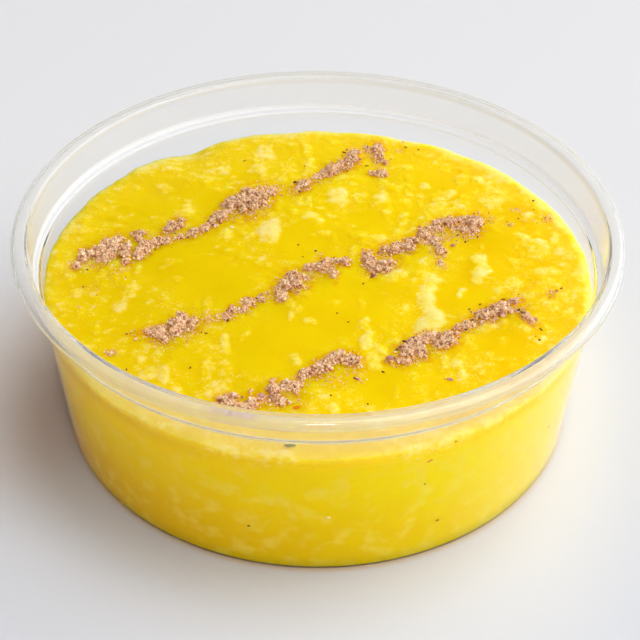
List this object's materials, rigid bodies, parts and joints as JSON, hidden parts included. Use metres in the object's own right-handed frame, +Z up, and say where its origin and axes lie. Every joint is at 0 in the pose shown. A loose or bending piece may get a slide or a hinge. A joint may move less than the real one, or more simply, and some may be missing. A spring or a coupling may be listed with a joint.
{
  "type": "saffron rice pudding",
  "caption": "Round clear plastic tub filled with yellow saffron rice pudding, with stripes of ground spice sprinkled over its lumpy top.",
  "frame": {"origin": "middle of the tub's foot, on the surface that it stands on", "axes": "+Z up along the tub's axis; seen from -Y the spice stripes climb from the left towards the far right, along +X and +Y"},
  "size_m": [0.117, 0.117, 0.043],
  "materials": {
    "clear_plastic": "thin clear smooth plastic, glossy at the rim and the stacking step",
    "saffron_pudding": "moist egg yellow pudding with paler soft clots of broken rice, slightly glossy and translucent",
    "ground_spice": "dry matt pinkish brown powder of uneven crumbs with a few dark specks"
  },
  "bodies": {
    "root": {"tub": "clear_plastic", "pudding": "saffron_pudding"}
  },
  "joints": []
}
